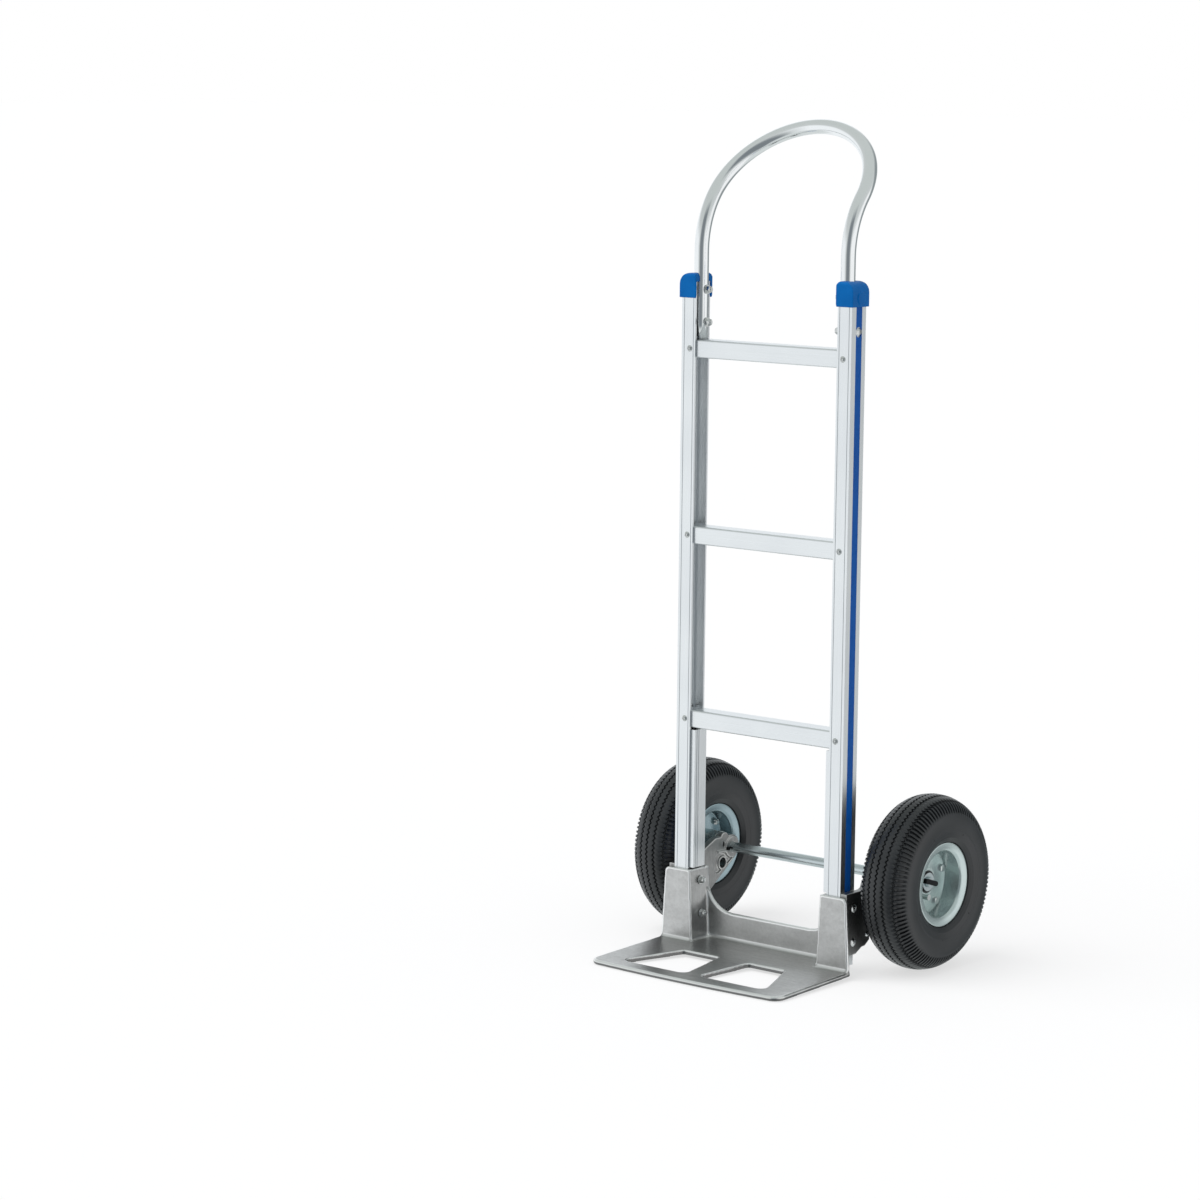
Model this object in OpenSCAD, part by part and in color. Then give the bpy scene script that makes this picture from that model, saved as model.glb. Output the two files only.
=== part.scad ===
// Two-wheeled hand truck: channel rails, cross bars, loop handle, cast nose plate, pneumatic wheels.
// Millimetres. Z is up, the nose plate points to -Y, the wheels stand behind the rails on the +Y side.

/* [Frame] */
// Outside width over the two rails
frame_width = 312; // [280:2:340]
// Width of a rail seen from the front
rail_width = 25.4; // [24:0.1:28]
// Depth of a rail from front to back
rail_depth = 35; // [34:0.5:38]
// Height of the lowest cross bar's middle
crossbar_low_z = 355; // [340:1:400]
// Distance from one cross bar to the next
crossbar_pitch = 281.5; // [260:0.5:290]
// Height of a cross bar's front face
crossbar_height = 27.3; // [24:0.1:30]
// Height of the rails' upper ends
rail_top = 1018; // [1011:1:1022]

/* [Handle] */
// Outside diameter of the handle tube
tube_d = 22.2; // [20:0.1:22.4]
// Height at which the handle starts to bend backwards
bend_z = 1063; // [1050:1:1100]
// Bend radius of the tube's middle where it leans back
bend_r = 137; // [60:1:160]
// Lean of the loop, from upright
loop_lean = 40; // [10:0.5:60]
// Radius of the loop's two side arcs
loop_side_r = 124; // [90:1:130]
// Sweep of each side arc before the flatter top arc
loop_side_sweep = 44; // [30:1:60]

/* [Wheels] */
// Outside diameter of a tyre
tyre_d = 265; // [240:1:280]
// Width of a tyre
tyre_width = 83; // [76:1:86]
// Distance between the two wheels' middle planes
track = 430; // [424:1:440]
// Distance from the rails' front faces back to the axle
axle_back = 136; // [130:1:150]
// Diameter of the axle
axle_d = 15.88; // [15:0.01:16]

/* [Nose plate] */
// Width of the nose plate
nose_width = 354; // [340:1:380]
// Reach of the nose plate in front of the rails
nose_reach = 180; // [150:1:230]
// Thickness of the nose plate
nose_thick = 7.6; // [6:0.1:10]
// Height of the two ears that hold the rails
ear_height = 122.5; // [110:0.5:124]

/* [Hidden] */
$fn = 64;

gap = 0.3;                      // between two pieces that only touch on the real truck
fit = 0.1;                      // radial play of a screw in its hole
run = 0.05;                     // radial play of a running or seated shaft

nose_bow = 5;                   // how far the nose plate's front edge bows forwards
front_y = nose_reach + nose_bow;
wheel_r = tyre_d / 2;
mid_y = (axle_back + wheel_r - front_y) / 2;   // middle of the whole truck, front to back
half = frame_width / 2;
rail_in = half - rail_width;    // rail's inner edge, from the truck's middle

// The channel: a wide mouth that takes the cross bars, and a narrower slot behind it.
flange = 3.2;
mouth_depth = 16.2;
slot_depth = 21.9;
slot_width = 22.6;
strip_width = 14.6;
strip_y = 18.2;                 // middle of the trim strip
strip_groove = 1.4;
rail_foot = 14;                 // rails' lower ends, just above the nose plate
crossbar_z = [for (i = [0:2]) crossbar_low_z + i * crossbar_pitch];
crossbar_front = flange + 0.2;
crossbar_deep = rail_depth - 2 * crossbar_front;
crossbar_wall = 2.4;
crossbar_half = rail_in + mouth_depth - 0.2;
screw_x = half - 15;
screw_head_d = 10;
screw_d = 5;

cap_wall = 3;
cap_play = 0.2;
cap_foot = 994;
cap_top = 1031;
cap_dome_r = 17;
cap_edge_r = 6;

tube_r = tube_d / 2;
tube_wall = 2.4;
seat = 0.12;                    // step in radius from one length of the tube to the next
seat_turn = 0.5;                // how far a length reaches back into the one before it, in degrees
leg_x = rail_in + mouth_depth - tube_r - 1.2;  // the legs stand inside the rails' mouths
leg_y = strip_y;
leg_foot = crossbar_z[2] + crossbar_height / 2 + gap;
handle_bolt_z = [957.5, 1006.5];
bolt_shank_r = 3;
bolt_head_d = 13;
loop_top_r = (leg_x - loop_side_r + loop_side_r * cos(loop_side_sweep)) / cos(loop_side_sweep);
loop_top_s = (loop_side_r - loop_top_r) * sin(loop_side_sweep);

nose_tilt = 1.5;                // the plate rises a little from its front edge to its heel
nose_corner_r = 18;
ear_thick = 5.7;
heel_r = 5;
web_front = rail_depth + 1;
web_thick = 6.5;
web_low = 55;                   // web's height at the truck's middle
web_sweep_r = 50;               // arcs that carry the web's top up to the ears
flange_in_top = rail_in - 8;    // inner face of the ears' side walls, top and bottom
flange_in_low = rail_in - 13.5;
ear_out_top = half + 14.6;
ear_out_low = nose_width / 2 - 0.5;
nose_bolt_z = [52.3, 103.8];
nose_bolt_y = 20;
bracket_bolt = [55, 59.5];      // y and z of the bolt behind the rail

bracket_in = half - 6;          // inner face of the arm behind the rail
bracket_arm = 11;
bracket_side = 10.5;
bracket_top = ear_height + 5;
boss_out = half + 14;           // outer face of the axle boss
axle_z = wheel_r;
axle_r = axle_d / 2;
spare_hole = [114, 110.5];      // y and z of the second axle hole
spare_r = 8.1;

wheel_x = track / 2;
rim_split = wheel_x - 2.3;      // where the two rim halves meet
sheet = 2.5;                    // rim sheet
barrel_r = 49.5;                // inside of the rim's barrel
flare_w = 6.5;                  // the flare from the barrel out to the lip, along the axle
flare_h = 10.4;                 // and away from it
lip_r = 63.4;
lip_x = 32.2;                   // rim lip, from the wheel's middle plane
hub_r = 21;
hub_in = boss_out + 3.2;
hub_out = wheel_x + 3.2;
bead_in = 15.5;                 // inner face of a tyre bead, from the wheel's middle plane
crown_h = 38;                   // height of the tread's oval over the widest place
tread_grooves = [-26.5, -12.2, 0, 12.2, 26.5];
groove_w = 2.2;
groove_depth = 3.2;
teeth = 110;                    // teeth round each shoulder
shoulder_x = 34.5;
shoulder_lean = 52;
tooth_length = 14;
tooth_depth = 2.2;
bearing_r = 17.5;
bearing_w = 11;
clip_x = hub_out + 2.6;
axle_end = clip_x + 4.4;
groove_r = axle_r - 0.9;
clip_length = 32;
clip_width = 7.6;
clip_sheet = 2.2;
clip_turn = -18;
rim_bolts = 5;
rim_bolt_ring = 42;
rim_bolt_turn = [39, 20];       // turn of the left and of the right wheel's bolts
valve_r = 3.6;
valve_bend = 8;
function valve_turn(side) = rim_bolt_turn[side < 0 ? 0 : 1] + 180;

ALU = [0.86, 0.87, 0.88];
CAST = [0.62, 0.64, 0.65];
BLUE = [0.05, 0.30, 0.66];
ZINC = [0.70, 0.78, 0.80];
STEEL = [0.75, 0.76, 0.78];
RUBBER = [0.13, 0.13, 0.14];
BLACK = [0.08, 0.08, 0.08];

// Puts what is drawn from the rails' front faces onto the truck's own middle.
module on_truck() translate([0, -mid_y, 0]) children();

// side is -1 for the truck's left (viewer's left from the front), 1 for its right.
module on_side(side) on_truck() mirror([side < 0 ? 1 : 0, 0, 0]) children();

module along_x(from, to) translate([from, 0, 0]) rotate([90, 0, 90]) linear_extrude(to - from) children();
module along_y(from, to) translate([0, to, 0]) rotate([90, 0, 0]) linear_extrude(to - from) children();

// A cylinder along X or Y, between two places on that axis.
module rod_x(from, to, r, y, z) translate([from, y, z]) rotate([0, 90, 0]) cylinder(h = to - from, r = r);
module rod_y(from, to, r, x, z) translate([x, from, z]) rotate([-90, 0, 0]) cylinder(h = to - from, r = r);
module hex_x(from, to, flats, y, z)
    translate([from, y, z]) rotate([0, 90, 0]) cylinder(h = to - from, d = flats / cos(30), $fn = 6);

// A round turned about the wheel's own axis: the profile's X is the distance along the axle.
module turned() rotate([0, 90, 0]) rotate([0, 0, 90]) rotate_extrude($fn = 96) mirror([1, -1]) children();

/* ---- rails, strips and caps ---- */

module rail_profile() {
    difference() {
        translate([rail_in, 0]) square([rail_width, rail_depth]);
        translate([rail_in - 1, flange]) square([mouth_depth + 1, rail_depth - 2 * flange]);
        translate([rail_in, (rail_depth - slot_width) / 2]) square([slot_depth, slot_width]);
        translate([half - strip_groove, strip_y - strip_width / 2]) square([strip_groove + 1, strip_width]);
        for (x = [rail_in + 3.6, half - 4.6], y = [0, rail_depth])
            translate([x, y]) rotate(45) square(0.8, center = true);
    }
}

module rail(side) color(ALU) on_side(side) difference() {
    translate([0, 0, rail_foot]) linear_extrude(rail_top - rail_foot) rail_profile();
    for (z = crossbar_z) {
        rod_y(-1, flange + 1, screw_d / 2 + fit, screw_x, z);
        rod_y(rail_depth - flange - 1, rail_depth + 1, screw_d / 2 + fit, screw_x, z);
    }
    for (z = handle_bolt_z) rod_x(half - 6, half + 1, bolt_shank_r + fit, leg_y, z);
    for (z = nose_bolt_z) rod_x(half - 6, half + 1, bolt_shank_r + fit, nose_bolt_y, z);
}

module trim_strip(side) color(BLUE) on_side(side) difference() {
    foot = bracket_top + gap;
    translate([half - strip_groove + 0.1, strip_y - strip_width / 2 + 0.15, foot])
        cube([1.2, strip_width - 0.3, cap_foot - foot - gap]);
    rod_x(half - 3, half + 3, 7.6, leg_y, handle_bolt_z[0]);
}

// The cap's end view: a block whose outer top edge is a large round, and its inner one a smaller round.
module cap_face(x_in, x_out) hull() {
    translate([x_in, cap_foot]) square([x_out - x_in, 5]);
    translate([x_out - cap_dome_r, cap_top - cap_dome_r]) circle(cap_dome_r);
    translate([x_in + cap_edge_r, cap_top - cap_edge_r]) circle(cap_edge_r);
}

// Its side view, with round top edges at the front and back.
module cap_side(front, back) hull() {
    translate([front, cap_foot]) square([back - front, 5]);
    for (y = [front + cap_edge_r, back - cap_edge_r]) translate([y, cap_top - cap_edge_r]) circle(cap_edge_r);
}

module rail_cap(side) color(BLUE) on_side(side) {
    front = -cap_wall - cap_play;
    back = rail_depth + cap_wall + cap_play;
    out = half + cap_wall + cap_play;
    difference() {
        union() {
            intersection() {
                along_y(front, back) cap_face(rail_in - 1, out);
                along_x(rail_in - 2, out + 1) cap_side(front, back);
            }
            rod_x(out - 1, out + 1.6, 9.4, leg_y, handle_bolt_z[1]);
        }
        // room for the rail
        translate([0, -cap_play, cap_foot - 1])
            cube([half + cap_play, rail_depth + 2 * cap_play, rail_top + gap - cap_foot + 1]);
        // room for the tube, open towards the truck's middle
        translate([leg_x, leg_y, cap_foot]) cylinder(h = 100, r = tube_r + 0.4);
        translate([0, leg_y - tube_r - 0.4, cap_foot]) cube([leg_x, 2 * tube_r + 0.8, 100]);
        // room for the upper bolt's head
        rod_x(half - strip_groove, out + 0.4, 7.8, leg_y, handle_bolt_z[1]);
    }
}

/* ---- cross bars ---- */

module crossbar(i) color(ALU) on_truck() {
    r = 3;
    z0 = crossbar_z[i] - crossbar_height / 2;
    difference() {
        along_x(-crossbar_half, crossbar_half) translate([crossbar_front, z0]) difference() {
            union() {
                translate([r, 0]) square([crossbar_deep - r, crossbar_height]);
                translate([0, r]) square([crossbar_deep, crossbar_height - 2 * r]);
                for (z = [r, crossbar_height - r]) translate([r, z]) circle(r, $fn = 32);
            }
            translate([crossbar_wall, crossbar_wall])
                square([crossbar_deep - 2 * crossbar_wall, crossbar_height - 2 * crossbar_wall]);
        }
        for (x = [-screw_x, screw_x]) rod_y(-1, rail_depth + 1, screw_d / 2 + fit, x, crossbar_z[i]);
    }
}

// A domed screw head that stands on Z = 0.
module dome_head(d, h) {
    edge = 0.3 * h;
    rise = h - edge;
    ball = (d * d / 4 + rise * rise) / (2 * rise);
    rotate_extrude() intersection() {
        square([d / 2, h]);
        translate([0, h - ball]) circle(ball, $fn = 128);
    }
}

module crossbar_screws() color(STEEL) on_truck() for (z = crossbar_z, x = [-screw_x, screw_x], back = [0, 1])
    translate([x, back * rail_depth, z]) rotate([90 - 180 * back, 0, 0]) {
        translate([0, 0, 0.1]) dome_head(screw_head_d, 3);
        translate([0, 0, -9]) cylinder(h = 9.2, r = screw_d / 2);
    }

/* ---- handle ---- */

// Everything above the backward bend is drawn in the loop's own leaning plane: X across, Y along the lean.
module on_loop() {
    translate([0, leg_y + bend_r * (1 - cos(loop_lean)), bend_z + bend_r * sin(loop_lean)])
        rotate([90 - loop_lean, 0, 0]) children();
}

// Each length of the tube starts a little inside the one before it, and every second one is a hair thinner.
module bent_tube(r, bend, from, sweep)
    rotate(from - seat_turn) rotate_extrude(angle = sweep + seat_turn, $fn = 96)
        translate([bend, 0]) circle(r);

module tube_run(r) {
    for (m = [0, 1]) mirror([m, 0, 0]) {
        translate([leg_x, leg_y, leg_foot]) cylinder(h = bend_z - leg_foot, r = r);
        translate([leg_x, leg_y + bend_r, bend_z]) rotate([90, 0, -90])
            bent_tube(r - seat, bend_r, 0, loop_lean);
        on_loop() translate([leg_x - loop_side_r, 0, 0])
            bent_tube(r, loop_side_r, 0, loop_side_sweep);
    }
    on_loop() translate([0, loop_top_s, 0])
        bent_tube(r - seat, loop_top_r, loop_side_sweep, 180 - 2 * loop_side_sweep + seat_turn);
}

module handle_loop() color(ALU) on_truck() difference() {
    tube_run(tube_r);
    tube_run(tube_r - tube_wall);
    for (m = [0, 1]) mirror([m, 0, 0]) translate([leg_x, leg_y, leg_foot - 1])
        cylinder(h = 2, r = tube_r - tube_wall);
    for (z = handle_bolt_z) rod_x(-half, half, bolt_shank_r + fit, leg_y, z);
}

// Where a nut lies on the ear's leaning side wall.
function nut_face(z) = flange_in_low + (flange_in_top - flange_in_low) * (z - 14) / (ear_height - 9) - 0.5;

// A dome-headed bolt along X: its head's underside at face, its end at tip.
module dome_bolt(tip, face, head_d, y, z) translate([face, y, z]) rotate([0, 90, 0]) {
    dome_head(head_d, 3);
    translate([0, 0, tip - face]) cylinder(h = face - tip + 0.1, r = bolt_shank_r);
}

// A washer and a lock nut, whose outer side lies on face.
module lock_nut(face, y, z) difference() {
    union() {
        rod_x(face - 1.3, face, 7, y, z);
        hex_x(face - 6.3, face - 1.3, 10, y, z);
        rod_x(face - 7.9, face - 6.3, 4.4, y, z);
    }
    rod_x(face - 9, face + 1, bolt_shank_r + fit, y, z);
}

module handle_bolts() color(STEEL) for (side = [-1, 1], z = handle_bolt_z) on_side(side)
    dome_bolt(leg_x - tube_r - 9, half - strip_groove + 0.1, bolt_head_d, leg_y, z);

module handle_nuts() color(STEEL) for (side = [-1, 1], z = handle_bolt_z) on_side(side)
    lock_nut(leg_x - tube_r - 0.1, leg_y, z);

/* ---- stiffeners inside the rails, below the lowest cross bar ---- */

module rail_stiffener(side) color(ALU) on_side(side) {
    foot = ear_height + 2;
    top = crossbar_z[0] - crossbar_height / 2 - 3;
    in = rail_in - 7.8;
    translate([0, 0, foot]) linear_extrude(top - foot) difference() {
        translate([in, crossbar_front]) square([mouth_depth + 7.6, crossbar_deep]);
        translate([in + 3, crossbar_front + 3]) square([mouth_depth + 6, crossbar_deep - 6]);
        for (y = [5, 9.5]) translate([in, crossbar_front + y]) square([1.2, 1.8], center = true);
    }
}

/* ---- nose plate ---- */

// The plate's outline, grown or shrunk by e. The front edge bows forwards along a large arc, and behind
// the ears the plate tapers in to the web.
module nose_outline(e) {
    w = nose_width / 2 - nose_corner_r;
    bow_r = (w * w + nose_bow * nose_bow) / (2 * nose_bow);
    hull() {
        for (x = [-w, w]) translate([x, nose_corner_r - nose_reach]) circle(nose_corner_r + e, $fn = 32);
        translate([-nose_width / 2 - e, -ear_thick - gap]) square([nose_width + 2 * e, ear_thick]);
        translate([-rail_in - 2 - e, 0]) square([2 * rail_in + 4 + 2 * e, web_front + web_thick + e]);
        intersection() {
            translate([0, bow_r - front_y]) circle(bow_r + e, $fn = 360);
            translate([-w, -front_y - 10]) square([2 * w, 60]);
        }
    }
}

// One window of the plate: wider at the front, with round corners.
module nose_window(e) hull() {
    translate([33, -58]) circle(6 + e, $fn = 32);
    translate([91, -58]) circle(6 + e, $fn = 32);
    translate([119, -143]) circle(11 + e, $fn = 32);
    translate([25, -143]) circle(11 + e, $fn = 32);
}

module nose_slab() {
    edge = 2.4;
    difference() {
        hull() {
            linear_extrude(0.1) nose_outline(-edge / 2);
            translate([0, 0, edge]) linear_extrude(nose_thick - 2 * edge) nose_outline(0);
            translate([0, 0, nose_thick - 0.1]) linear_extrude(0.1) nose_outline(-edge);
        }
        for (m = [0, 1]) mirror([m, 0, 0]) translate([0, 0, -1])
            linear_extrude(nose_thick + 2) nose_window(0);
    }
}

// An ear: its tapered front, and the side wall that closes the rail's open side.
module ear() {
    r = 8;
    z0 = 9;
    along_y(-ear_thick - gap, -gap)
        polygon(concat([[flange_in_top, ear_height], [flange_in_low, z0], [ear_out_low, z0]],
            [for (a = [0:10:90]) [ear_out_top - r * (1 - cos(a)), ear_height - r * (1 - sin(a))]]));
    intersection() {
        along_y(-ear_thick - gap, web_front + web_thick)
            polygon([[flange_in_low, z0], [rail_in - 0.5, z0], [rail_in - 0.5, ear_height],
                [flange_in_top, ear_height]]);
        along_x(0, half) ear_wall();
    }
}

// Side view of the ear's side wall: its upper back corner is rounded off.
module ear_wall() {
    r = 14;
    back = web_front + web_thick;
    difference() {
        translate([-ear_thick - gap, 0]) square([back + ear_thick + gap, ear_height]);
        translate([back - r, ear_height - r]) difference() {
            square(r + 1);
            circle(r, $fn = 48);
        }
    }
}

module back_web() along_y(web_front, web_front + web_thick) difference() {
    translate([-rail_in, 9]) square([2 * rail_in, ear_height - 9]);
    for (x = [-1, 1]) translate([x * (flange_in_top - web_sweep_r), web_low + web_sweep_r])
        circle(web_sweep_r, $fn = 96);
    translate([-flange_in_top + web_sweep_r, web_low]) square([2 * (flange_in_top - web_sweep_r), 200]);
    translate([-flange_in_top, web_low + web_sweep_r]) square([2 * flange_in_top, 200]);
}

function plate_top(y) = nose_thick / cos(nose_tilt) + (y + front_y) * tan(nose_tilt);

// Section of the fillet where an upright wall meets the plate; the wall is on its +X side.
module fillet() difference() {
    translate([-heel_r, -1.5]) square([heel_r + 1, heel_r + 1.5]);
    translate([-heel_r, heel_r]) circle(heel_r);
}

module nose_plate() color(CAST) on_truck() difference() {
    union() {
        translate([0, -front_y, 0]) rotate([nose_tilt, 0, 0]) translate([0, front_y, 0]) nose_slab();
        for (m = [0, 1]) mirror([m, 0, 0]) {
            ear();
            along_x(flange_in_low, ear_out_low - 1)
                translate([-ear_thick - gap, plate_top(-ear_thick)]) fillet();
            along_y(-ear_thick, web_front + 1) translate([flange_in_low, plate_top(web_front / 2)]) fillet();
        }
        along_x(-flange_in_low - 1, flange_in_low + 1) translate([web_front, plate_top(web_front)]) fillet();
        back_web();
    }
    for (z = nose_bolt_z, m = [0, 1]) mirror([m, 0, 0])
        rod_x(flange_in_low - 5, rail_in + 2, bolt_shank_r + fit, nose_bolt_y, z);
}

// Long bolts: head on the bracket's outer face, through the rail, nut on the ear's side wall.
module nose_bolts() color(STEEL) for (side = [-1, 1]) on_side(side) {
    face = half + gap + bracket_side + 0.1;
    for (z = nose_bolt_z) dome_bolt(nut_face(z) - 9, face, bolt_head_d, nose_bolt_y, z);
    dome_bolt(bracket_in - 9, face, 9, bracket_bolt.x, bracket_bolt.y);
}

module nose_nuts() color(STEEL) for (side = [-1, 1]) on_side(side) {
    for (z = nose_bolt_z) lock_nut(nut_face(z), nose_bolt_y, z);
    lock_nut(bracket_in - 0.1, bracket_bolt.x, bracket_bolt.y);
}

/* ---- axle and its brackets ---- */

// Side view of a bracket's arm, with Y to the right and Z up.
module arm_outline() {
    hull() {
        translate([98, 140]) circle(12, $fn = 32);
        translate([axle_back, axle_z]) circle(19, $fn = 32);
        translate([72, 126]) circle(14, $fn = 32);
    }
    hull() {
        translate([axle_back, axle_z]) circle(19, $fn = 32);
        translate([108, 110]) circle(15, $fn = 32);
        translate([rail_depth + gap, 50]) square([15, 70]);
        translate([72, 90]) circle(14, $fn = 32);
    }
    translate([118, 148]) circle(10, $fn = 32);
}

// Side view of the pocket round the second axle hole.
module arm_pocket() hull() {
    translate([106, 113]) circle(14.5, $fn = 32);
    translate([101, 104]) circle(8, $fn = 32);
    translate([133, 117]) circle(5, $fn = 32);
}

module side_outline() polygon([[0.5, 32], [27, 33], [43, 41.2], [51, 41.6], [62.5, 49.5],
    [62.5, bracket_top], [0.5, bracket_top]]);

module wheel_bracket(side) color(CAST) on_side(side) difference() {
    union() {
        difference() {
            along_x(bracket_in, bracket_in + bracket_arm) arm_outline();
            along_x(bracket_in - 1, bracket_in + 3.5) arm_pocket();
        }
        along_x(half + gap, half + gap + bracket_side) side_outline();
        rod_x(bracket_in - 1.5, boss_out, 16.5, axle_back, axle_z);
        rod_x(bracket_in, boss_out - 4, 11, spare_hole.x, spare_hole.y);
        // a short rib over the pocket
        translate([bracket_in - 3, 99, 127.8]) cube([4, 20, 3.2]);
    }
    rod_x(bracket_in - 5, boss_out + 5, axle_r + run, axle_back, axle_z);
    rod_x(bracket_in - 5, boss_out + 5, spare_r, spare_hole.x, spare_hole.y);
    for (z = nose_bolt_z) rod_x(half, half + 20, bolt_shank_r + fit, nose_bolt_y, z);
    rod_x(bracket_in - 5, half + 20, bolt_shank_r + fit, bracket_bolt.x, bracket_bolt.y);
    // a slot beside the axle
    translate([bracket_in - 5, 114, 135.5]) cube([30, 4, 8]);
}

module axle() color(ZINC) on_truck() {
    difference() {
        rod_x(-axle_end, axle_end, axle_r, axle_back, axle_z);
        for (m = [0, 1]) mirror([m, 0, 0]) difference() {
            rod_x(clip_x, clip_x + 1.8, axle_r + 1, axle_back, axle_z);
            rod_x(clip_x - 1, clip_x + 2.8, groove_r, axle_back, axle_z);
        }
    }
}

// A small socket screw on each boss's inner face, beside the axle.
module axle_set_screws() color(STEEL) for (side = [-1, 1]) on_side(side) {
    difference() {
        rod_x(bracket_in - 4, bracket_in - 1.6, 3, axle_back - 11.8, axle_z - 0.8);
        hex_x(bracket_in - 5, bracket_in - 2.8, 2.5, axle_back - 11.8, axle_z - 0.8);
    }
}

module axle_washers() color(ZINC) for (side = [-1, 1]) on_side(side) {
    for (x = [boss_out + 0.4, hub_out + 0.3]) difference() {
        rod_x(x, x + 2, 14, axle_back, axle_z);
        rod_x(x - 1, x + 3, axle_r + fit, axle_back, axle_z);
    }
}

// Spring clip: a strip across the axle's end, with two legs that hook into the axle's groove.
module axle_clip(side) color(BLACK) on_side(side)
translate([0, axle_back, axle_z]) rotate([clip_turn, 0, 0]) {
    r = clip_width / 2;
    along_x(axle_end + 0.1, axle_end + 0.1 + clip_sheet) {
        square([clip_length - clip_width, clip_width], center = true);
        for (m = [-1, 1]) translate([m * (clip_length / 2 - r), 0]) circle(r);
    }
    for (m = [0, 1]) mirror([0, m, 0]) {
        translate([clip_x + 0.1, axle_r + 0.15, -r]) cube([axle_end - clip_x + 0.5, clip_sheet, clip_width]);
        translate([clip_x + 0.1, groove_r + 0.06, 1 - r]) cube([1.6, 1.5, clip_width - 2]);
    }
}

/* ---- wheels: drawn about the axle on the truck's right, mirrored for its left ---- */

module on_wheel(side) on_side(side) translate([0, axle_back, axle_z]) children();

// The rim's flare from its barrel out to the lip, kept e clear of it, and the room inside the tyre, e smaller.
function flare(q, e) = [lip_x - flare_w - 2 + (flare_w - e) * sin(q),
    barrel_r + sheet + flare_h - (flare_h - e) * cos(q)];
function cavity(e) = concat(
    [[bead_in - e, barrel_r + sheet + 0.3 + max(0, e - 0.4)], [bead_in - e, barrel_r + sheet + 10]],
    [for (q = [-50:10:90]) [(tyre_width / 2 - 9 - e) * cos(q), wheel_r - 39 + (30 - e) * sin(q)]]);

// A closed section from its right half, whose first and last points lie on the wheel's middle plane or face it.
module both_halves(right)
    polygon(concat(right, [for (i = [len(right) - 1:-1:0]) [-right[i].x, right[i].y]]));

function crown_r(x) = wheel_r - crown_h + crown_h * pow(cos(asin(2 * x / tyre_width)), 0.8);

// Section of the tyre: a crown and shoulders on an oval, sidewalls that come in over the lips, and two beads.
module tyre_section() {
    mid = wheel_r - crown_h;
    w = tyre_width / 2;
    out = lip_x - 0.8;
    difference() {
        both_halves(concat(
            [for (q = [1:6:85]) [w * sin(q), crown_r(w * sin(q))]],
            [for (q = [0:9:90]) [out + (w - out) * cos(q), mid - (mid - lip_r - 0.9) * sin(q)]],
            [for (q = [75:-15:0]) flare(q, 0.4)],
            [[bead_in - 3, barrel_r + sheet + 0.4]]));
        both_halves(concat([[bead_in, barrel_r]], cavity(0)));
    }
}

// Five grooves round the tread, and a row of teeth cut into each shoulder.
module tyre(side) color(RUBBER) on_wheel(side) translate([wheel_x, 0, 0]) difference() {
    turned() difference() {
        tyre_section();
        for (x = tread_grooves) translate([x, crown_r(x)])
            square([groove_w, 2 * groove_depth], center = true);
    }
    for (m = [-1, 1], i = [0:teeth - 1]) rotate([i * 360 / teeth, 0, 0])
        translate([m * shoulder_x, 0, crown_r(shoulder_x)]) rotate([0, m * shoulder_lean, 0])
            cube([tooth_length, PI * wheel_r / teeth, 2 * tooth_depth], center = true);
}

module inner_tube(side) color(BLACK) on_wheel(side) translate([wheel_x, 0, 0]) turned() difference() {
    both_halves(cavity(0.4));
    both_halves(cavity(2.4));
}

// One rim half: a disc, half of the barrel and a rolled lip; x grows from the split towards the lip.
module rim_half_section(depth) {
    r = barrel_r;
    face = 0.1;
    polygon(concat(
        [[face, hub_r + 0.1], [face, r + sheet]],
        [for (q = [0:15:75]) flare(q, 0) + [depth - lip_x, 0]],
        [[depth - 0.6, lip_r], [depth + 0.6, lip_r - 0.8]],
        [for (q = [75:-15:0]) [depth - flare_w + flare_w * sin(q), r + flare_h * (1 - cos(q))]],
        [[face + sheet + 1.5, r], [face + sheet, r - 1.5], [face + sheet, hub_r + 0.1]]));
}

module rim_bolt_holes(side) for (i = [0:rim_bolts - 1])
    rotate([rim_bolt_turn[side < 0 ? 0 : 1] + i * 360 / rim_bolts, 0, 0])
        rod_x(rim_split - 20, rim_split + 20, 3 + fit, rim_bolt_ring, 0);

module rim_outer(side) color(ZINC) on_wheel(side) difference() {
    translate([rim_split, 0, 0]) turned() rim_half_section(wheel_x + lip_x - rim_split);
    rim_bolt_holes(side);
    on_valve(side) cylinder(h = 10, r = valve_r + 0.6, center = true);
}

module rim_inner(side) color(ZINC) on_wheel(side) difference() {
    translate([rim_split, 0, 0]) mirror([1, 0, 0]) turned() rim_half_section(rim_split - wheel_x + lip_x);
    rim_bolt_holes(side);
}

module hub(side) color(ZINC) on_wheel(side) turned() difference() {
    translate([hub_in, 0]) square([hub_out - hub_in, hub_r]);
    translate([hub_in - 1, 0]) square([hub_out - hub_in + 2, axle_r + 2.5]);
    for (x = [hub_in - 0.1, hub_out - bearing_w + 0.1]) translate([x, 0])
        square([bearing_w, bearing_r + run]);
}

module bearings(side) color(STEEL) on_wheel(side) turned() for (x = [hub_in + 0.1, hub_out - bearing_w + 0.2])
    translate([x, axle_r + run]) difference() {
        square([bearing_w - 0.3, bearing_r - axle_r - run]);
        for (f = [0, bearing_w - 0.3]) translate([f, (bearing_r - axle_r) / 2]) square([1.6, 4], center = true);
    }

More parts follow.
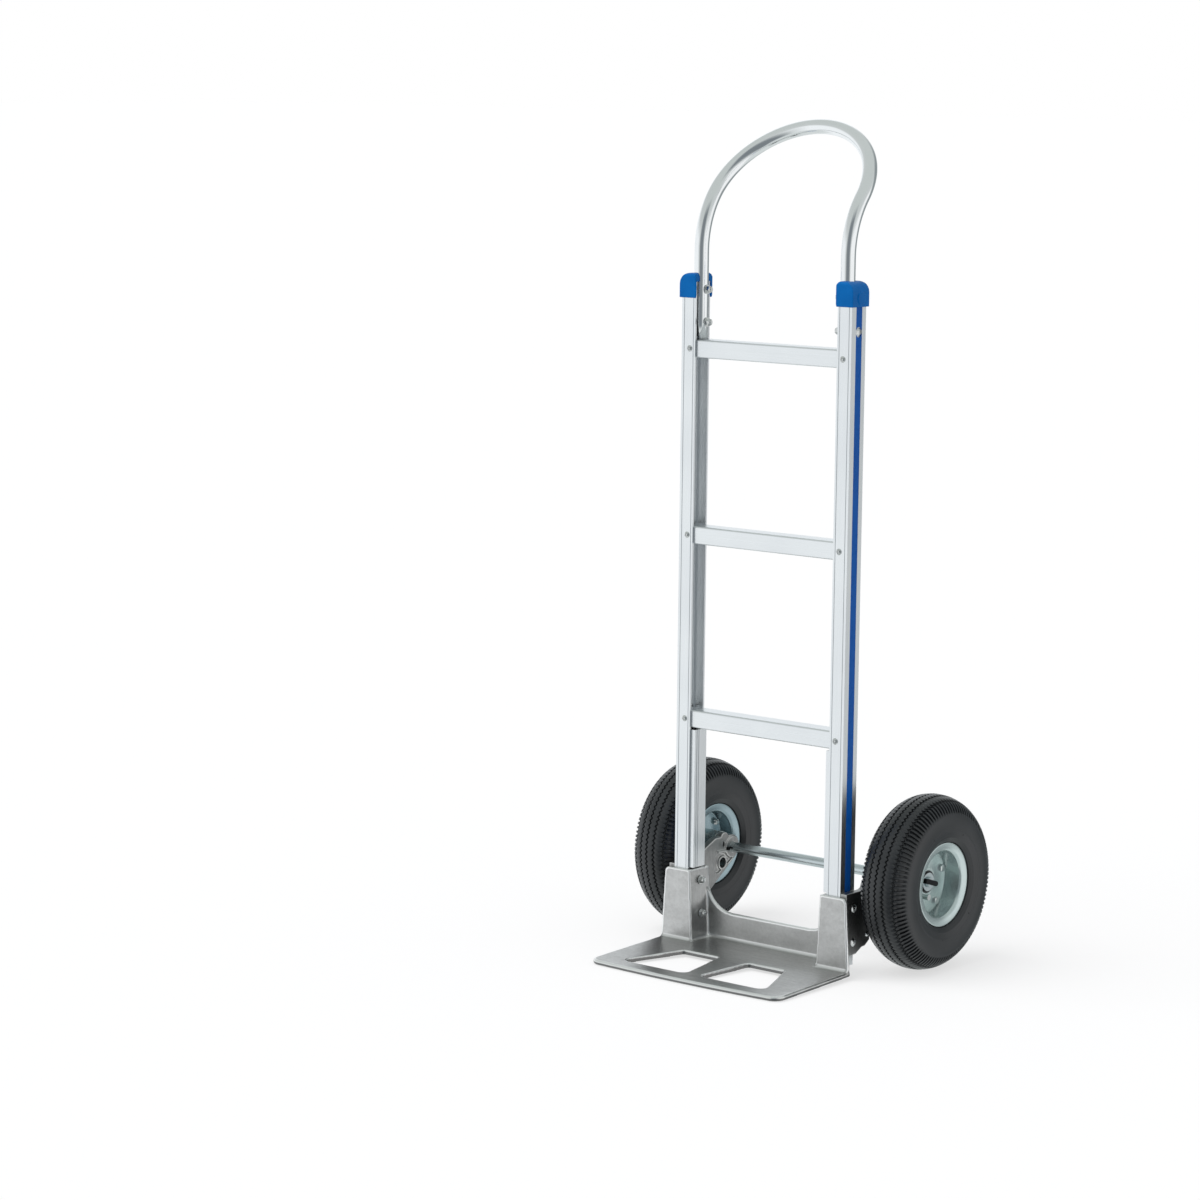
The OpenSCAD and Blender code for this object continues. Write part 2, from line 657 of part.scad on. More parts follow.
module rim_bolts(side) color(STEEL) on_wheel(side) for (i = [0:rim_bolts - 1])
    rotate([rim_bolt_turn[side < 0 ? 0 : 1] + i * 360 / rim_bolts, 0, 0]) {
        out = rim_split + sheet + 0.2;
        in = rim_split - sheet - 0.2;
        rod_x(in - 8, out, 3, rim_bolt_ring, 0);
        hex_x(out, out + 4.2, 10, rim_bolt_ring, 0);
        difference() {
            hex_x(in - 5.4, in, 10, rim_bolt_ring, 0);
            rod_x(in - 6, in + 1, 3 + fit, rim_bolt_ring, 0);
        }
    }

// Halfway between two rim bolts, where the valve leaves the barrel; Z points to the axle.
module on_valve(side) rotate([valve_turn(side), 0, 0]) translate([wheel_x + 6, barrel_r + sheet, 0])
    rotate([90, 0, 0]) children();

// Valve stem: down through the barrel from the inner tube, then a quarter bend outwards, and its cap.
module valve(side) color(BLACK) on_wheel(side) on_valve(side) {
    translate([0, 0, -0.15]) cylinder(h = 5.15, r = valve_r);
    translate([valve_bend, 0, 5]) rotate([-90, 0, 0]) rotate(-90)
        bent_tube(valve_r - seat, valve_bend, -90, 90);
    translate([valve_bend - 0.1, 0, 5 + valve_bend]) rotate([0, 90, 0]) {
        cylinder(h = 10, r = valve_r);
        translate([0, 0, 10]) cylinder(h = 8, r = valve_r + 0.8);
    }
}

rail(-1);  // rail_left
rail(1);  // rail_right
trim_strip(-1);  // trim_strip_left
trim_strip(1);  // trim_strip_right
rail_cap(-1);  // rail_cap_left
rail_cap(1);  // rail_cap_right
crossbar(2);  // crossbar_top
crossbar(1);  // crossbar_middle
crossbar(0);  // crossbar_bottom
crossbar_screws();
handle_loop();
handle_bolts();
handle_nuts();
rail_stiffener(-1);  // rail_stiffener_left
rail_stiffener(1);  // rail_stiffener_right
nose_plate();
nose_bolts();
nose_nuts();
wheel_bracket(-1);  // wheel_bracket_left
wheel_bracket(1);  // wheel_bracket_right
axle();
axle_set_screws();
axle_washers();
axle_clip(-1);  // axle_clip_left
axle_clip(1);  // axle_clip_right
tyre(-1);  // tyre_left
inner_tube(-1);  // inner_tube_left
rim_outer(-1);  // rim_outer_left
rim_inner(-1);  // rim_inner_left
hub(-1);  // hub_left
bearings(-1);  // bearings_left
rim_bolts(-1);  // rim_bolts_left
valve(-1);  // valve_left
tyre(1);  // tyre_right
inner_tube(1);  // inner_tube_right
rim_outer(1);  // rim_outer_right
rim_inner(1);  // rim_inner_right
hub(1);  // hub_right
bearings(1);  // bearings_right
rim_bolts(1);  // rim_bolts_right
valve(1);  // valve_right
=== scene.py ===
import bpy
import bmesh
import math
from mathutils import Matrix, Vector


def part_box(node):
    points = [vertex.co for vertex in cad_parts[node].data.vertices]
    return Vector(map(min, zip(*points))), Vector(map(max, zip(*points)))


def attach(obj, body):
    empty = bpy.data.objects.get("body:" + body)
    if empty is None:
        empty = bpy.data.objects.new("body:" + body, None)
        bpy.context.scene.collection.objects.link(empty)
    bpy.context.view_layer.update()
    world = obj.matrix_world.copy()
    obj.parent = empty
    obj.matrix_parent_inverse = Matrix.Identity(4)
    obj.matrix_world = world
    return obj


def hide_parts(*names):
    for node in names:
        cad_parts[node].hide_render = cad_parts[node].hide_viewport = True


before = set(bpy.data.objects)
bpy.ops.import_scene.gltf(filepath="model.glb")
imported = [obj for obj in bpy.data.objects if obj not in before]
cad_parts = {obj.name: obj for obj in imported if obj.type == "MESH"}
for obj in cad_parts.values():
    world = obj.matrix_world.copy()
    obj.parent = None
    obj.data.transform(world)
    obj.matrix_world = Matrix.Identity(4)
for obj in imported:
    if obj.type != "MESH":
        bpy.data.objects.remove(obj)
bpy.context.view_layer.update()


# ---------------------------------------------------------------------------------------------------------
# Rails, cross bars and stiffeners. All are extruded aluminium, sawn to length and left bright, so the fine
# lines of the die run along each of them. The bars' ends sit inside the rails' open sides.

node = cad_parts
mm = 0.001
bar_dark = (0.80, 0.82, 0.835)
bar_light = (0.84, 0.86, 0.87)
bar_rough = 0.30
lines_across = 1500
lines_along = 7
die_line_depth = 0.02 * mm


def new_material(name, metallic=0.0):
    """A new material, with its nodes, its links and its shader."""
    material = bpy.data.materials.new(name)
    material.use_nodes = True
    nodes, links = material.node_tree.nodes, material.node_tree.links
    shader = nodes["Principled BSDF"]
    shader.inputs["Metallic"].default_value = metallic
    return material, nodes, links, shader


def grain(nodes, links, scale, detail=4.0, rough=0.6, stretch=(1, 1, 1), source="Object"):
    """Noise that stays on the piece, drawn out along X, Y and Z by the stretch."""
    place = nodes.new("ShaderNodeTexCoord")
    mapping = nodes.new("ShaderNodeMapping")
    mapping.inputs["Scale"].default_value = stretch
    links.new(place.outputs[source], mapping.inputs["Vector"])
    noise = nodes.new("ShaderNodeTexNoise")
    noise.inputs["Scale"].default_value = scale
    noise.inputs["Detail"].default_value = detail
    noise.inputs["Roughness"].default_value = rough
    links.new(mapping.outputs["Vector"], noise.inputs["Vector"])
    return noise.outputs["Fac"]


def spread(nodes, links, value, low, high, out_low, out_high):
    """Maps a value from one range to another."""
    mapped = nodes.new("ShaderNodeMapRange")
    for key, number in zip(("From Min", "From Max", "To Min", "To Max"), (low, high, out_low, out_high)):
        mapped.inputs[key].default_value = number
    links.new(value, mapped.inputs["Value"])
    return mapped.outputs["Result"]


def two_tone(nodes, links, value, dark, light, low=0.35, high=0.65):
    """A colour from dark to light as the value goes from low to high."""
    ramp = nodes.new("ShaderNodeValToRGB")
    ramp.color_ramp.elements[0].position = low
    ramp.color_ramp.elements[0].color = (*dark, 1)
    ramp.color_ramp.elements[1].position = high
    ramp.color_ramp.elements[1].color = (*light, 1)
    links.new(value, ramp.inputs["Fac"])
    return ramp.outputs["Color"]


def bumped(nodes, links, height, distance, below=None):
    """A surface raised by the height over the distance, laid over another one."""
    bump = nodes.new("ShaderNodeBump")
    bump.inputs["Strength"].default_value = 1.0
    bump.inputs["Distance"].default_value = distance
    links.new(height, bump.inputs["Height"])
    if below is not None:
        links.new(below, bump.inputs["Normal"])
    return bump.outputs["Normal"]


def drawn_metal(name, dark, light, rough, stretch, depth, source="Object"):
    """Bright metal with fine lines along the axis whose stretch is smallest, and a faint cloudiness."""
    material, nodes, links, shader = new_material(name, 1.0)
    lines = grain(nodes, links, 1.0, 3.0, stretch=stretch, source=source)
    cloud = grain(nodes, links, 9.0, 2.0)
    links.new(two_tone(nodes, links, cloud, dark, light), shader.inputs["Base Color"])
    links.new(spread(nodes, links, lines, 0.3, 0.7, rough * 0.82, rough * 1.2), shader.inputs["Roughness"])
    links.new(bumped(nodes, links, lines, depth), shader.inputs["Normal"])
    return material


def refinish(material, *names):
    """CAD pieces that stay as they are, in this finish."""
    for name in names:
        for slot in node[name].material_slots:
            slot.material = material


upright_aluminium = drawn_metal("upright_aluminium", bar_dark, bar_light, bar_rough,
                                (lines_across, lines_across, lines_along), die_line_depth)
crosswise_aluminium = drawn_metal("crosswise_aluminium", bar_dark, bar_light, bar_rough,
                                  (lines_along, lines_across, lines_across), die_line_depth)
refinish(upright_aluminium, "rail_left", "rail_right", "rail_stiffener_left", "rail_stiffener_right")
refinish(crosswise_aluminium, "crossbar_top", "crossbar_middle", "crossbar_bottom")


# ---------------------------------------------------------------------------------------------------------
# Trim strips and rail caps. The strips are a blue plastic pressed into a groove down each rail's outer side.
# The caps are moulded in the same blue, pushed over the rails' ends, and held by the upper handle bolts.

scene = bpy.context.scene
seam = 0.002 * mm


def moulded_plastic(name, dark, light, rough, pits):
    """Blue plastic with a low sheen and the fine pits of its mould."""
    material, nodes, links, shader = new_material(name)
    shader.inputs["Specular IOR Level"].default_value = 0.22
    shader.inputs["Specular Tint"].default_value = (0.1, 0.45, 1.0, 1)
    fine = grain(nodes, links, 1400.0, 3.0)
    cloud = grain(nodes, links, 35.0, 3.0)
    links.new(two_tone(nodes, links, cloud, dark, light), shader.inputs["Base Color"])
    links.new(spread(nodes, links, cloud, 0.3, 0.7, rough * 0.85, rough * 1.15), shader.inputs["Roughness"])
    links.new(bumped(nodes, links, fine, pits), shader.inputs["Normal"])
    return material


def softened(name, source, voxel, passes):
    """A copy of a CAD solid with its edges and inner corners rounded, as a mould or die leaves them."""
    mesh = node[source].data.copy()
    work = bmesh.new()
    work.from_mesh(mesh)
    bmesh.ops.remove_doubles(work, verts=work.verts, dist=seam)
    work.to_mesh(mesh)
    work.free()
    piece = bpy.data.objects.new(name, mesh)
    scene.collection.objects.link(piece)
    remesh = piece.modifiers.new("skin", "REMESH")
    remesh.mode = "VOXEL"
    remesh.voxel_size = voxel
    smooth = piece.modifiers.new("rounding", "SMOOTH")
    smooth.factor = 0.5
    smooth.iterations = passes
    rounded = bpy.data.meshes.new_from_object(piece.evaluated_get(bpy.context.evaluated_depsgraph_get()))
    piece.modifiers.clear()
    piece.data = rounded
    rounded.materials.clear()
    for face in rounded.polygons:
        face.use_smooth = True
    return piece


def finished(piece, material, body, slot, *replaced):
    """Gives a new piece its finish, its body and the CAD pieces it stands for; the slot is not used."""
    piece.data.materials.append(material)
    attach(piece, body)
    if replaced:
        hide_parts(*replaced)


strip_plastic = moulded_plastic("strip_plastic", (0.004, 0.080, 0.36), (0.005, 0.095, 0.40), 0.28,
                                0.004 * mm)
cap_plastic = moulded_plastic("cap_plastic", (0.003, 0.118, 0.40), (0.004, 0.138, 0.45), 0.38, 0.01 * mm)
refinish(strip_plastic, "trim_strip_left", "trim_strip_right")
for side in ("left", "right"):
    cap = softened("cap_" + side, "rail_cap_" + side, 0.5 * mm, 4)
    finished(cap, cap_plastic, "frame", "blue_plastic", "rail_cap_" + side)


# ---------------------------------------------------------------------------------------------------------
# Handle. One length of aluminium tube, 22.2 mm across, bent to a loop that leans back from the rails. Its
# legs stand inside the rails, on the top cross bar.

rail_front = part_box("rail_left")[0].y
crossbar_z = [355 + 281.5 * i for i in range(3)]
crossbar_height = 27.3
tube_r = 11.1
tube_inset = 0.15
tube_wall = 2.4
leg_x = 134.5
leg_y = 18.2
leg_foot = crossbar_z[2] + crossbar_height / 2 + 0.3
bend_z = 1063
bend_r = 137
lean = math.radians(40)
side_arc_r = 124
side_arc = math.radians(44)


def at(x, y, z):
    """A place in millimetres: X from the truck's middle, Y back from the rails' fronts, Z from the floor."""
    return Vector((x * mm, rail_front + y * mm, z * mm))


def arc(count):
    """Fractions of an arc, without its start."""
    return [(i + 1) / count for i in range(count)]


def handle_line():
    """The right half of the tube's middle line, from the leg's foot to the top of the loop."""
    line = [at(leg_x, leg_y, leg_foot + (bend_z - leg_foot) * f) for f in (0, 0.25, 0.5, 0.75, 1)]
    for f in arc(24):
        a = lean * f
        line.append(at(leg_x, leg_y + bend_r * (1 - math.cos(a)), bend_z + bend_r * math.sin(a)))

    def on_loop(x, s):
        y = leg_y + bend_r * (1 - math.cos(lean)) + s * math.sin(lean)
        return at(x, y, bend_z + bend_r * math.sin(lean) + s * math.cos(lean))

    for f in arc(28):
        a = side_arc * f
        line.append(on_loop(leg_x - side_arc_r * (1 - math.cos(a)), side_arc_r * math.sin(a)))
    top_r = (leg_x - side_arc_r * (1 - math.cos(side_arc))) / math.cos(side_arc)
    centre = (side_arc_r - top_r) * math.sin(side_arc)
    for f in arc(30):
        a = side_arc + (math.pi / 2 - side_arc) * f
        line.append(on_loop(top_r * math.cos(a), centre + top_r * math.sin(a)))
    return line


def swept(name, line, radii, sides=48):
    """A tube of this outer and inner radius along a line, closed at its ends; UV runs round and along."""
    work = bmesh.new()
    uv = work.loops.layers.uv.new("along")
    up = Vector((0, 1, 0))
    rings = []
    length = 0.0
    marks = []
    for i, p in enumerate(line):
        tangent = (line[min(i + 1, len(line) - 1)] - line[max(i - 1, 0)]).normalized()
        up = (up - tangent * up.dot(tangent)).normalized()
        across = tangent.cross(up)
        length += (p - line[i - 1]).length if i else 0.0
        marks.append(length)
        angles = [2 * math.pi * k / sides for k in range(sides)]
        rings.append([[work.verts.new(p + (up * math.cos(t) + across * math.sin(t)) * r * mm) for t in angles]
                      for r in radii])
    for i in range(len(line) - 1):
        for layer, outward in enumerate((True, False)):
            here, ahead = rings[i][layer], rings[i + 1][layer]
            for k in range(sides):
                k2 = (k + 1) % sides
                corners = [(i, k), (i, k + 1), (i + 1, k + 1), (i + 1, k)]
                verts = [here[k], here[k2], ahead[k2], ahead[k]]
                if outward:
                    corners.reverse()
                    verts.reverse()
                face = work.faces.new(verts)
                face.smooth = True
                for loop, (row, column) in zip(face.loops, corners):
                    loop[uv].uv = (column / sides, marks[row])
    for outer, inner in (rings[0], rings[-1]):
        for k in range(sides):
            k2 = (k + 1) % sides
            work.faces.new([outer[k], outer[k2], inner[k2], inner[k]])
    bmesh.ops.recalc_face_normals(work, faces=work.faces)
    mesh = bpy.data.meshes.new(name)
    work.to_mesh(mesh)
    work.free()
    piece = bpy.data.objects.new(name, mesh)
    scene.collection.objects.link(piece)
    return piece


half_line = handle_line()
whole_line = half_line + [Vector((-p.x, p.y, p.z)) for p in reversed(half_line[:-1])]
tube_aluminium = drawn_metal("tube_aluminium", (0.86, 0.875, 0.88), (0.90, 0.915, 0.92), 0.13,
                             (60, 4, 1), 0.008 * mm, "UV")
skin_r = tube_r - tube_inset
handle = swept("handle", whole_line, (skin_r, skin_r - tube_wall))
finished(handle, tube_aluminium, "frame", "tube", "handle_loop")


# ---------------------------------------------------------------------------------------------------------
# Screws, bolts and nuts of the frame. The cross bars and the handle are held by dome-headed steel screws,
# bright zinc plated. The handle's have a washer and a lock nut on the inner side.

half_width = 156
rail_depth = 35
screw_x = half_width - 15
screw_head_d = 9.6
screw_head_height = 2.8
screw_recess = 2.6
handle_bolt_z = (957.5, 1006.5)
handle_bolt_seat = half_width - 1.2
handle_shank = 31
leg_side = leg_x - tube_r
bolt_r = 2.95
bolt_bore = 3.05
thread_length = 9
thread_pitch = 1.0
nut_flats = 10
nut_height = 4.9
washer_r = 7
washer_height = 1.3


def plated_steel(name, dark, light, rough, metallic=1.0):
    """Steel with a smooth, faintly cloudy plating."""
    material, nodes, links, shader = new_material(name, metallic)
    cloud = grain(nodes, links, 45.0, 2.0)
    fine = grain(nodes, links, 700.0, 3.0)
    links.new(two_tone(nodes, links, cloud, dark, light, 0.2, 0.8), shader.inputs["Base Color"])
    links.new(spread(nodes, links, cloud, 0.2, 0.8, rough * 0.92, rough * 1.1), shader.inputs["Roughness"])
    links.new(bumped(nodes, links, fine, 0.006 * mm), shader.inputs["Normal"])
    return material


def stacked(rings):
    """Verts and faces of rings of equal count, joined in order; a ring of one point closes an end."""
    verts = []
    faces = []
    starts = []
    for ring in rings:
        starts.append(len(verts))
        verts.extend(ring)
    for low, high, s, t in zip(rings, rings[1:], starts, starts[1:]):
        count = max(len(low), len(high))
        for k in range(count):
            k2 = (k + 1) % count
            if len(low) == 1:
                faces.append((s, t + k, t + k2))
            elif len(high) == 1:
                faces.append((s + k, s + k2, t))
            else:
                faces.append((s + k, s + k2, t + k2, t + k))
    return verts, faces


def circle(r, h, sides=48):
    """A ring of points round Z at a height."""
    angles = [2 * math.pi * k / sides for k in range(sides)]
    return [(r * math.cos(a), r * math.sin(a), h) for a in angles]


def hexagon(flats, height_at, sides=48):
    """A ring round a hexagon; height_at gives its height from the distance to the middle."""
    ring = []
    for k in range(sides):
        a = 2 * math.pi * k / sides
        r = flats / 2 / math.cos((a + math.pi / 6) % (math.pi / 3) - math.pi / 6)
        ring.append((r * math.cos(a), r * math.sin(a), height_at(r)))
    return ring


def chamfered(flats, height):
    """The outer ring and the flat ring of a hexagon's turned top."""
    flat_r = flats * 0.475
    slope = 0.55
    return hexagon(flats, lambda r: height - (r - flat_r) * slope), circle(flat_r, height)


def hex_head(flats, height):
    """A hexagon head, standing on Z = 0."""
    return stacked([[(0, 0, 0)], hexagon(flats, lambda r: 0), *chamfered(flats, height), [(0, 0, height)]])


def lock_nut(flats, height, bore):
    """A hexagon nut with a round collar on top, as a lock nut has."""
    collar = [circle(bore + 1.9, height), circle(bore + 1.6, height + 1.2), circle(bore + 0.9, height + 1.6)]
    return stacked([circle(bore, 0), hexagon(flats, lambda r: 0), *chamfered(flats, height), *collar,
                    circle(bore, height + 1.2), circle(bore, 0)])


def threaded_end(r, length, pitch):
    """A bolt's end along Z, with its threads, from Z = 0 up to a small chamfer."""
    chamfer = 0.7
    rings = [circle(r, 0)]
    for i in range(int(length / pitch) - 1):
        rings += [circle(r, i * pitch + pitch * 0.15), circle(r - pitch * 0.45, i * pitch + pitch * 0.55)]
    rings += [circle(r, length - pitch), circle(r - chamfer, length), [(0, 0, length)]]
    return stacked(rings)


def washer(r, bore, height):
    """A flat washer with its outer edges broken."""
    return stacked([circle(bore, 0), circle(r - 0.2, 0), circle(r, 0.3), circle(r, height - 0.3),
                    circle(r - 0.2, height), circle(bore, height), circle(bore, 0)])


def dome_screw(d, height, recess):
    """A dome head with a cross recess, standing on Z = 0."""
    sides = 64
    rows = 16
    edge = 0.25
    arm_half = 0.9
    cross_depth = 1.3
    ball = (d * d / 4 + height * height) / (2 * height)
    rings = [[(0, 0, 0)], circle(d / 2, 0, sides), circle(d / 2, edge, sides)]
    for i in range(rows - 1, 0, -1):
        r = d / 2 * i / rows
        ring = []
        for x, y, _ in circle(r, 0, sides):
            z = max(edge, height - ball + math.sqrt(ball * ball - r * r))
            beside = max(0.0, min(1.0, (arm_half - min(abs(x), abs(y))) / 0.35))
            along = max(0.0, min(1.0, (recess - max(abs(x), abs(y))) / 0.5))
            ring.append((x, y, z - cross_depth * (beside * along)))
        rings.append(ring)
    return stacked(rings + [[(0, 0, height - cross_depth - 0.2)]])


def copies(name, parts, smooth_angle=35):
    """One piece from many: parts is a list of (verts and faces in mm, place, direction of local Z, turn)."""
    verts = []
    faces = []
    for (part_verts, part_faces), place, direction, turn in parts:
        move = Matrix.Translation(place) @ Vector(direction).to_track_quat("Z", "Y").to_matrix().to_4x4()
        move = move @ Matrix.Rotation(math.radians(turn), 4, "Z")
        start = len(verts)
        verts.extend(move @ (Vector(p) * mm) for p in part_verts)
        faces.extend(tuple(start + i for i in face) for face in part_faces)
    mesh = bpy.data.meshes.new(name)
    mesh.from_pydata(verts, [], faces)
    work = bmesh.new()
    work.from_mesh(mesh)
    bmesh.ops.remove_doubles(work, verts=work.verts, dist=0.0001 * mm)
    bmesh.ops.recalc_face_normals(work, faces=work.faces)
    for edge in work.edges:
        edge.smooth = len(edge.link_faces) == 2 and edge.calc_face_angle(0.0) < math.radians(smooth_angle)
    for face in work.faces:
        face.smooth = True
    work.to_mesh(mesh)
    work.free()
    piece = bpy.data.objects.new(name, mesh)
    scene.collection.objects.link(piece)
    return piece


def long_bolt(head, seat, shank, thread_start, s, y, z, turn):
    """The parts of a bolt that runs inwards from its head's seat, on the side s of the truck."""
    return [(head, at(seat * s, y, z), (s, 0, 0), turn),
            (stacked([circle(bolt_r, 0), circle(bolt_r, shank)]), at(seat * s, y, z), (-s, 0, 0), 0),
            (threaded_end(bolt_r, thread_length, thread_pitch), at(thread_start * s, y, z), (-s, 0, 0), 0)]


def nut_on_washer(face, s, y, z, turn):
    """The parts of a nut and its washer, which lies against the face."""
    return [(washer(washer_r, bolt_bore, washer_height), at(face * s, y, z), (-s, 0, 0), 0),
            (lock_nut(nut_flats, nut_height, bolt_bore), at((face - washer_height) * s, y, z), (-s, 0, 0),
             turn)]


bright_zinc = plated_steel("bright_zinc", (0.62, 0.63, 0.63), (0.76, 0.77, 0.76), 0.15)
screw_head = dome_screw(screw_head_d, screw_head_height, screw_recess)
screws = []
for i, z in enumerate(crossbar_z):
    for s in (-1, 1):
        screws.append((screw_head, at(screw_x * s, 0, z), (0, -1, 0), 20 + 35 * i + 17 * s))
        screws.append((screw_head, at(screw_x * s, rail_depth, z), (0, 1, 0), 50 + 25 * i - 9 * s))
finished(copies("frame_screws", screws), bright_zinc, "frame", "zinc_steel", "crossbar_screws")

handle_head = dome_screw(12.6, 3.0, 3.2)
bolts = []
nuts = []
for s in (-1, 1):
    for i, z in enumerate(handle_bolt_z):
        bolts += long_bolt(handle_head, handle_bolt_seat, handle_shank, leg_side, s, leg_y, z, 15 + 40 * i)
        nuts += nut_on_washer(leg_side - 0.1, s, leg_y, z, 11 + 23 * i)
finished(copies("handle_screws", bolts), bright_zinc, "frame", "zinc_steel", "handle_bolts")
finished(copies("handle_lock_nuts", nuts), bright_zinc, "frame", "zinc_steel", "handle_nuts")


# ---------------------------------------------------------------------------------------------------------
# Nose plate and wheel brackets. Both are aluminium castings, tumbled and left bare: grey, faintly mottled
# and scuffed, with round inner corners. Edges and fillets are lighter, partly rubbed wear and partly painted
# highlight; low walls near the floor carry painted shade, and the brackets' darker metal is painted shade.

# Up to low_wall, walls that face sideways or down get painted shade, as dark as this share of the metal's
# dark tone.
low_wall = 11 * mm
low_wall_fade = 16 * mm
painted_shade_share = 0.4


def calculated(nodes, links, operation, *values):
    """A math node on values that are numbers or outputs of other nodes."""
    result = nodes.new("ShaderNodeMath")
    result.operation = operation
    for socket, value in zip(result.inputs, values):
        if isinstance(value, (int, float)):
            socket.default_value = value
        else:
            links.new(value, socket)
    return result.outputs[0]


def blend(nodes, links, amount, below, above):
    """Lays a colour over another by the given amount; each is a colour or an output of another node."""
    mix = nodes.new("ShaderNodeMix")
    mix.data_type = "RGBA"
    links.new(amount, mix.inputs[0])
    for socket, colour in ((mix.inputs[6], below), (mix.inputs[7], above)):
        if isinstance(colour, tuple):
            socket.default_value = (*colour, 1)
        else:
            links.new(colour, socket)
    return mix.outputs[2]


def cast_aluminium(name, dark, light, worn_and_highlight, rough):
    """Bare casting: lighter where the surface bends, as rubbed wear and painted highlight, except on the low
    walls that face sideways or down, which are darker as painted shade.
    """
    material, nodes, links, shader = new_material(name, 1.0)
    cloud = grain(nodes, links, 12.0, 5.0)
    mottle = grain(nodes, links, 170.0, 5.0, 0.7)
    sand = grain(nodes, links, 900.0, 4.0, 0.7)
    scuffs = grain(nodes, links, 1.0, 6.0, 0.75, (22, 260, 60))
    tone = cloud
    for layer, share in ((mottle, 0.55), (scuffs, 0.4)):
        mix = nodes.new("ShaderNodeMix")
        mix.inputs[0].default_value = share
        links.new(tone, mix.inputs[2])
        links.new(layer, mix.inputs[3])
        tone = mix.outputs[0]
    shape = nodes.new("ShaderNodeNewGeometry")
    bend = calculated(nodes, links, "SUBTRACT", shape.outputs["Pointiness"], 0.5)
    edge = spread(nodes, links, calculated(nodes, links, "ABSOLUTE", bend), 0.008, 0.020, 0.0, 1.0)
    facing = nodes.new("ShaderNodeSeparateXYZ")
    links.new(shape.outputs["Normal"], facing.inputs[0])
    upward = spread(nodes, links, facing.outputs[2], 0.0, 0.35, 0.0, 1.0)
    place = nodes.new("ShaderNodeTexCoord")
    level = nodes.new("ShaderNodeSeparateXYZ")
    links.new(place.outputs["Object"], level.inputs[0])
    above = spread(nodes, links, level.outputs[2], low_wall, low_wall_fade, 0.0, 1.0)
    outside_painted_shade = calculated(nodes, links, "MAXIMUM", upward, above)
    metal = two_tone(nodes, links, tone, dark, light, 0.38, 0.62)
    # Painted shade: low walls that face sideways or down are darkened, as if in shadow near the floor.
    metal = blend(nodes, links, outside_painted_shade, tuple(painted_shade_share * c for c in dark), metal)
    # Rubbed wear and painted highlight: bends, convex and concave alike, are lightened where no painted shade
    # lies.
    metal = blend(nodes, links, calculated(nodes, links, "MULTIPLY", edge, outside_painted_shade), metal, worn_and_highlight)
    links.new(metal, shader.inputs["Base Color"])
    links.new(spread(nodes, links, tone, 0.35, 0.65, rough * 1.15, rough * 0.85), shader.inputs["Roughness"])
    pits = bumped(nodes, links, sand, 0.05 * mm)
    dents = bumped(nodes, links, mottle, 0.12 * mm, pits)
    links.new(bumped(nodes, links, cloud, 0.6 * mm, dents), shader.inputs["Normal"])
    return material


nose_metal = cast_aluminium("nose_metal", (0.45, 0.447, 0.44), (0.60, 0.598, 0.59), (0.92, 0.92, 0.91), 0.34)
# The brackets are the same casting as the nose plate, in darker colours that paint shade on them.
bracket_shaded_metal = cast_aluminium("bracket_shaded_metal", (0.27, 0.27, 0.265), (0.41, 0.41, 0.405), (0.58, 0.58, 0.57),
                               0.40)
nose = softened("nose_casting", "nose_plate", 1.45 * mm, 4)
finished(nose, nose_metal, "frame", "casting", "nose_plate")
for side in ("left", "right"):
    bracket = softened("bracket_casting_" + side, "wheel_bracket_" + side, 0.8 * mm, 5)
    finished(bracket, bracket_shaded_metal, "frame", "casting", "wheel_bracket_" + side)


# ---------------------------------------------------------------------------------------------------------
# Bolts of the nose plate and brackets. Three on each side, 6 mm, dome headed and zinc plated: two pass
# through bracket, rail and ear, and one holds the bracket behind the rail. Each has a washer and a lock nut.

nose_bolt_y = 20
nose_bolt_z = (52.3, 103.8)
nose_head_d = 12.8
bracket_bolt_y = 55
bracket_bolt_z = 59.5
bracket_head_d = 9
head_height = 2.95
bracket_side = half_width + 10.9
arm_side = half_width - 6.1
rail_foot = 14
ear_wall_low = 116.6
ear_wall_rise = 5.5 / 113.5


def ear_wall(z):
    """Where the leaning inner side of an ear stands, at a height."""
    return ear_wall_low + ear_wall_rise * (z - rail_foot)


bolt_rows = [(nose_bolt_y, z, nose_head_d, ear_wall(z)) for z in nose_bolt_z]
bolt_rows.append((bracket_bolt_y, bracket_bolt_z, bracket_head_d, arm_side))
nose_bolts = []
nose_nuts = []
for s in (-1, 1):
    for i, (y, z, head_d, face) in enumerate(bolt_rows):
        head = dome_screw(head_d, head_height, head_d / 4)
        nose_bolts += long_bolt(head, bracket_side, bracket_side - face, face, s, y, z, 14 + 31 * i)
        nose_nuts += nut_on_washer(face, s, y, z, 8 + 17 * i)
finished(copies("nose_dome_bolts", nose_bolts), bright_zinc, "frame", "zinc_steel", "nose_bolts")
finished(copies("nose_lock_nuts", nose_nuts), bright_zinc, "frame", "zinc_steel", "nose_nuts")


# ---------------------------------------------------------------------------------------------------------
# Axle. A plain steel bar, zinc plated with the faint blue that clear passivation leaves. Washers keep the
# wheels off the brackets, and a black spring clip in a groove holds each wheel on.

blue_zinc = plated_steel("blue_zinc", (0.54, 0.60, 0.62), (0.64, 0.70, 0.71), 0.22)
black_oxide = plated_steel("black_oxide", (0.012, 0.012, 0.013), (0.03, 0.03, 0.032), 0.4)
refinish(blue_zinc, "axle", "axle_washers")
refinish(black_oxide, "axle_set_screws")
for side in ("left", "right"):
    clip = softened("clip_" + side, "axle_clip_" + side, 0.25 * mm, 3)
    finished(clip, black_oxide, "frame", "black_steel", "axle_clip_" + side)


